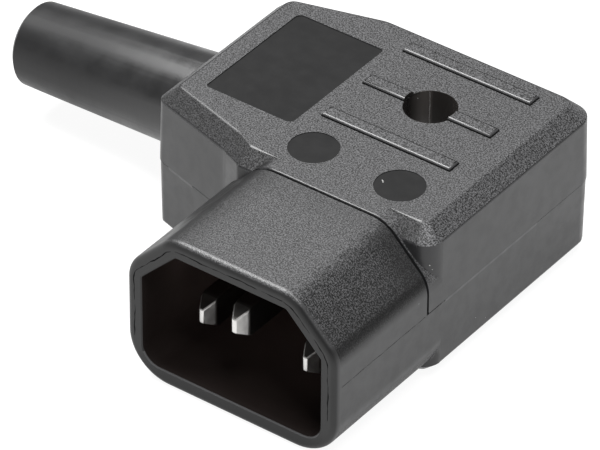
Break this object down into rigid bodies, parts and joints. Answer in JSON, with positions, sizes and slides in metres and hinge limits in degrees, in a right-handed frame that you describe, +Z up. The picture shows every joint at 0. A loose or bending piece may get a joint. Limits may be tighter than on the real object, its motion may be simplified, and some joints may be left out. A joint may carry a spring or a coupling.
{
  "type": "angled appliance connector",
  "caption": "Black angled mains connector for an appliance lead: hexagonal shroud round flat metal pins, screwed split housing, and a tapered cord sleeve that leaves to the side.",
  "frame": {"origin": "middle of the shroud's rim, at the height of the seam between the shells", "axes": "+X along the mating face, away from the cord sleeve; +Y from the rim back into the body, so the connector plugs in along -Y; +Z up, from the base to the cover"},
  "size_m": [0.067, 0.0491, 0.0206],
  "materials": {
    "shell": "spark-eroded matte black, smooth on the sides",
    "sleeve": "smooth satin black",
    "contact": "bright nickel plate",
    "screw": "zinc-plated steel",
    "clamp": "plain black"
  },
  "bodies": {
    "root": {"base_shell": "shell", "cover_shell": "shell", "cord_sleeve": "sleeve", "line_pin": "contact", "neutral_pin": "contact", "earth_pin": "contact", "terminal_screws": "screw", "housing_screw": "screw", "cord_clamp": "clamp", "cord_clamp_screws": "screw"}
  },
  "joints": []
}
